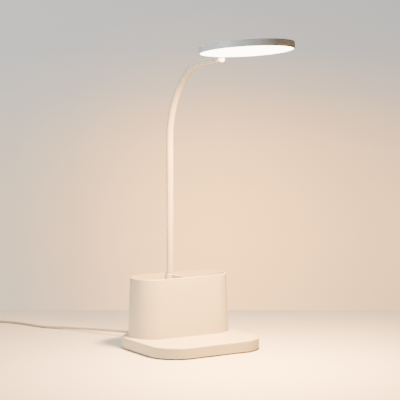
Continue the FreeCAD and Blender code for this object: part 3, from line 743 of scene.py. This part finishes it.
# ================================================================ cord
# Pale vinyl lead from the back of the plate, its colour painted a darker grey for the shade
# and shadow along it. It comes down to the table, runs off in slack waves, is wound into a coil
# of three turns side by side and two high, and ends in its plug.
CORD_R = 0.00175
CORD_ROUNDING = 5
CORD_STEPS = 8
CORD_ROUTE = [(-0.022, 0.0544, 0.008), (-0.022, 0.066, 0.008), (-0.033, 0.086, 0.0075),
              (-0.049, 0.120, 0.0062), (-0.066, 0.158, 0.0042), (-0.085, 0.194, 0.0023),
              (-0.101, 0.213, 0.0018), (-0.109, 0.240, 0.0018), (-0.119, 0.268, 0.0018),
              (-0.135, 0.291, 0.0018), (-0.146, 0.315, 0.0018)]
COIL_REACH = 0.012
COIL_MIDDLE_R = 0.01925
TURN_PITCH = 0.00353
COIL_STEPS = 16
# The winding: at each angle in degrees, the track that the cord is on, and the layer.
OUTER, MIDDLE, INNER = 1, 0, -1
WINDING = [(330, OUTER, 0), (375, MIDDLE, 0), (690, MIDDLE, 0), (735, INNER, 0),
           (1005, INNER, 0), (1050, INNER, 1), (1320, INNER, 1), (1365, MIDDLE, 1),
           (1680, MIDDLE, 1), (1725, OUTER, 1), (1980, OUTER, 1)]
# From the coil to the plug: how far in front of the coil's middle, and how high.
TAIL_WAY = [(0.006, 0.0051), (0.013, 0.0043)]
VINYL_SHADED_GREY = (0.36, 0.34, 0.315, 1)
VINYL_SHADED_DEEP = (0.31, 0.295, 0.27, 1)


def coil_points():
    """The coil's middle, and points on its turns: inwards on the table, up, and out on top."""
    last, end = Vector(CORD_ROUTE[-2]), Vector(CORD_ROUTE[-1])
    onwards = (end - last).normalized()
    touch = end + onwards * COIL_REACH
    centre = touch + Vector((-onwards.y, onwards.x, 0)) * (COIL_MIDDLE_R + TURN_PITCH)
    start = math.degrees(math.atan2(touch.y - centre.y, touch.x - centre.x))
    stages = [(start, OUTER, 0)] + WINDING
    step = 360 / COIL_STEPS
    # The spline runs inside its points, so they stand that much further out.
    swell = math.sqrt(2 / (1 + math.cos(math.radians(step))))
    points = []
    for number in range(1, int((WINDING[-1][0] - start) / step) + 1):
        angle = start + number * step
        (low, track, layer), (high, next_track, next_layer) = next(
            pair for pair in zip(stages, stages[1:]) if pair[0][0] <= angle <= pair[1][0])
        share = (angle - low) / (high - low)
        share = share * share * (3 - 2 * share)
        radius = COIL_MIDDLE_R + (track + (next_track - track) * share) * TURN_PITCH
        height = end.z + (layer + (next_layer - layer) * share) * TURN_PITCH
        turn = math.radians(angle)
        points.append((centre.x + radius * swell * math.cos(turn),
                       centre.y + radius * swell * math.sin(turn), height))
    return centre, points


def tail_points(centre):
    """Points from the coil's top turn down to the back of the plug."""
    x = (plug_low[0] + plug_high[0]) / 2
    into_plug = (x, plug_high[1], (plug_low[2] + plug_high[2]) / 2)
    return [(x, centre.y - forward, height) for forward, height in TAIL_WAY] + [into_plug]


def laid_cord(points):
    """Round cord along one smooth spline, with the points as its control points."""
    line = bpy.data.curves.new("cord_run", "CURVE")
    line.dimensions = "3D"
    line.bevel_depth = CORD_R
    line.bevel_resolution = CORD_ROUNDING
    line.resolution_u = CORD_STEPS
    line.use_fill_caps = True
    spline = line.splines.new("NURBS")
    spline.points.add(len(points) - 1)
    for point, place in zip(spline.points, points):
        point.co = (*place, 1)
    spline.order_u = 3
    spline.use_endpoint_u = True
    cord = bpy.data.objects.new("cord_run", line)
    bpy.context.scene.collection.objects.link(cord)
    return cord


def cord_vinyl():
    """Soft vinyl with a low, uneven shine, painted a darker grey than the pale vinyl as shade."""
    material, shader, where = finish("cord_vinyl")
    two_tone(shader, blotches(where, per_metre=60.0), VINYL_SHADED_GREY, VINYL_SHADED_DEEP)
    uneven_shine(shader, blotches(where, per_metre=300.0, detail=4.0), low=0.34, high=0.54)
    return material


plug_low, plug_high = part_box("plug_body")
coil_centre, coil = coil_points()
cord_run = laid_cord(CORD_ROUTE + coil + tail_points(coil_centre))
# This vinyl is painted a darker grey than the pale vinyl, as shade along the cord; the grip and
# plug take it too.
vinyl = cord_vinyl()
cord_run.data.materials.append(vinyl)
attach(cord_run, "base")
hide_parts("cord", "cord_coil")


# ---------------------------------------------------------------- cord grip
# Soft vinyl sleeve moulded on the lead: a flange inside the plate's wall, a neck through the
# wall, and a tapered tail with ring grooves that lets the cord bend without kinking.
FLANGE_R = 0.0044
FLANGE_THICKNESS = 0.0015
HOLE_R = 0.0033
TAIL_ROOT_R = 0.0040
TAIL_TIP_R = 0.0024
GRIP_SIDES = 32
GRIP_CHAMFER = 0.0003
GRIP_HEAD = 0.0022
GRIP_SMOOTHING = 30
TAIL_TIP_CUT = 0.0002
GROOVES = 5
GROOVE_DEPTH = 0.00055
GROOVE_WIDTH = 0.0009
GROOVE_SLOPE = 0.0002


def grip_outline(wall_y, tip_y):
    """Radii of the grip at places along its axis, from the flange to the tip."""
    inner_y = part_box("cord_grip")[0][1]
    flange_y = inner_y + FLANGE_THICKNESS
    outline = [(inner_y, FLANGE_R - GRIP_CHAMFER), (inner_y + GRIP_CHAMFER, FLANGE_R),
               (flange_y, FLANGE_R), (flange_y, HOLE_R), (wall_y, HOLE_R), (wall_y, TAIL_ROOT_R)]
    pitch = (tip_y - wall_y - GRIP_HEAD) / GROOVES
    for number in range(GROOVES):
        y = wall_y + GRIP_HEAD + number * pitch
        for place, depth in ((y, 0), (y + GROOVE_SLOPE, GROOVE_DEPTH),
                             (y + GROOVE_WIDTH, GROOVE_DEPTH),
                             (y + GROOVE_WIDTH + GROOVE_SLOPE, 0)):
            share = (place - wall_y) / (tip_y - wall_y)
            outline.append((place, TAIL_ROOT_R + (TAIL_TIP_R - TAIL_ROOT_R) * share - depth))
    return outline + [(tip_y - GRIP_CHAMFER, TAIL_TIP_R), (tip_y, TAIL_TIP_R - TAIL_TIP_CUT)]


def moulded_grip():
    """Grip drawn out ring by ring along the cord's way out of the plate."""
    outline = grip_outline(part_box("base_shell")[1][1], CORD_ROUTE[0][1])
    place = Vector((CORD_ROUTE[0][0], outline[0][0], CORD_ROUTE[0][2]))
    grip = start_rod("cord_grip_ringed", outline[0][1], GRIP_SIDES, place, (math.pi / 2, 0, 0))
    draw_out(place, (0, 1, 0), [(y - y_before, r / r_before) for (y_before, r_before), (y, r)
                                in zip(outline, outline[1:])])
    return close_up(grip, GRIP_SMOOTHING)


grip = moulded_grip()
# The grip's vinyl is the cord's, painted a darker grey as shade.
grip.data.materials.append(vinyl)
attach(grip, "base")
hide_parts("cord_grip")


# ---------------------------------------------------------------- plug
# Flat plug: a vinyl body moulded over the cord, wide in front, with three grooves for the
# fingers and a nozzle at the back, and a folded steel sleeve with two windows over a tongue.
PLUG_FRONT = 0.0006
PLUG_FLAT = 0.0080
PLUG_BEVEL = 0.0009
PLUG_SMOOTHING = 30
# The body's width in each finger groove, and behind it, as shares of its width in front.
FINGER_GROOVES = [(0.94, 1), (0.92, 0.96), (0.90, 0.92)]
FINGER_HEIGHT = 0.90
FINGER_SLOPE = 0.0004
FINGER_FLOOR = 0.0012
FINGER_RIB = 0.0010
NOZZLE_STEPS = [(0.0012, 0.93), (0.0022, 0.62), (0.0, 0.92)]
NOZZLE_TAPER = 0.95
SLEEVE_WALL = 0.0004
SLEEVE_DEPTH = 0.0112
WINDOW_X = 0.0029
WINDOW_SIDE = 0.0022
WINDOW_BACK = 0.0045
WINDOW_DEPTH = 0.00025
TONGUE_WIDTH = 0.0108
TONGUE_THICKNESS = 0.0016
TONGUE_GAP = 0.0002
TONGUE_SET_BACK = 0.0006
TONGUE_EDGE = 0.0002
STEEL_BRIGHT = (0.80, 0.80, 0.81, 1)
STEEL_RUBBED = (0.70, 0.70, 0.71, 1)
SCRATCH_STRETCH = (1.0, 0.06, 1.0)
SAME_HEIGHT = 1e-5
FACING = 0.9


def block_at(name, low, high):
    """Start a piece as a block between two corners."""
    return start_piece(name, bpy.ops.mesh.primitive_cube_add, size=1,
                       location=(Vector(low) + Vector(high)) / 2, scale=Vector(high) - Vector(low))


def pick_faces(piece, wanted):
    """Select, in edit mode, the faces whose centre and normal the test wants."""
    bpy.ops.object.mode_set(mode="OBJECT")
    for face in piece.data.polygons:
        face.select = wanted(face.center, face.normal)
    for part in (piece.data.edges, piece.data.vertices):
        for item in part:
            item.select = False
    bpy.ops.object.mode_set(mode="EDIT")
    bpy.ops.mesh.select_mode(type="FACE")


def finger_steps():
    """Steps of the body's flat front and its finger grooves, with ribs between them."""
    steps = [(PLUG_FLAT, 1)]
    for narrow, wide in FINGER_GROOVES:
        steps += [(FINGER_SLOPE, (narrow, 1, FINGER_HEIGHT)), (FINGER_FLOOR, 1),
                  (FINGER_SLOPE, (wide / narrow, 1, 1 / FINGER_HEIGHT)), (FINGER_RIB, 1)]
    return steps[:-1]


def moulded_plug():
    """Body drawn out from its front, through its grooves, to the end of its nozzle."""
    low, high = Vector(plug_low), Vector(plug_high)
    plug = block_at("plug_body_grooved", low, (high.x, low.y + PLUG_FRONT, high.z))
    pick_faces(plug, lambda centre, normal: normal.y > FACING)
    steps = finger_steps() + NOZZLE_STEPS
    nozzle = high.y - low.y - PLUG_FRONT - sum(distance for distance, _ in steps)
    place = ((low.x + high.x) / 2, low.y + PLUG_FRONT, (low.z + high.z) / 2)
    draw_out(place, (0, 1, 0), steps + [(nozzle, NOZZLE_TAPER)])
    close_up(plug)
    round_edges(plug, PLUG_BEVEL, angle=PLUG_SMOOTHING)
    return plug


def folded_sleeve():
    """Steel sleeve, hollow from the front, with two windows sunk in its top."""
    low, high = (Vector(corner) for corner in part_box("plug_metal"))
    metal = block_at("plug_sleeve", low, high)
    middle_x = (low.x + high.x) / 2

    def on_top(centre, normal):
        return normal.z > FACING and centre.z > high.z - SAME_HEIGHT

    def in_window(centre, normal):
        return (on_top(centre, normal)
                and abs(abs(centre.x - middle_x) - WINDOW_X) < WINDOW_SIDE / 2
                and abs(high.y - WINDOW_BACK - WINDOW_SIDE / 2 - centre.y) < WINDOW_SIDE / 2)

    pick_faces(metal, lambda centre, normal: normal.y < -FACING)
    bpy.ops.mesh.inset(thickness=SLEEVE_WALL)
    bpy.ops.mesh.extrude_region_move(TRANSFORM_OT_translate={"value": (0, SLEEVE_DEPTH, 0)})
    for side in (-1, 1):
        for edge in (-0.5, 0.5):
            pick_faces(metal, on_top)
            cut_x = middle_x + side * WINDOW_X + edge * WINDOW_SIDE
            bpy.ops.mesh.bisect(plane_co=(cut_x, 0, 0), plane_no=(1, 0, 0))
    for edge in (0, WINDOW_SIDE):
        pick_faces(metal, on_top)
        bpy.ops.mesh.bisect(plane_co=(0, high.y - WINDOW_BACK - edge, 0), plane_no=(0, 1, 0))
    pick_faces(metal, in_window)
    bpy.ops.mesh.extrude_region_move(TRANSFORM_OT_translate={"value": (0, 0, -WINDOW_DEPTH)})
    return close_up(metal)


def contact_tongue():
    """Plastic tongue that carries the contacts, set back a little in the sleeve."""
    low, high = (Vector(corner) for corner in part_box("plug_metal"))
    middle_x = (low.x + high.x) / 2
    floor = low.z + SLEEVE_WALL + TONGUE_GAP
    tongue = block_at("plug_tongue",
                      (middle_x - TONGUE_WIDTH / 2, low.y + TONGUE_SET_BACK, floor),
                      (middle_x + TONGUE_WIDTH / 2, low.y + SLEEVE_DEPTH, floor + TONGUE_THICKNESS))
    round_edges(tongue, TONGUE_EDGE, segments=2)
    return tongue


def bright_steel():
    """Bright steel, rubbed lengthwise by use."""
    material, shader, where = finish("plug_steel", Metallic=1.0)
    scratches = blotches(stretched(where, SCRATCH_STRETCH), per_metre=2500.0, detail=3.0)
    two_tone(shader, scratches, STEEL_BRIGHT, STEEL_RUBBED)
    uneven_shine(shader, scratches, low=0.12, high=0.32)
    return material


plug = moulded_plug()
# The plug's vinyl is the cord's, painted a darker grey as shade.
plug.data.materials.append(vinyl)
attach(plug, "base")
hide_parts("plug_body")
metal = folded_sleeve()
metal.data.materials.append(bright_steel())
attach(metal, "base")
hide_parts("plug_metal")
tongue = contact_tongue()
tongue.data.materials.append(white_moulding)
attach(tongue, "base")
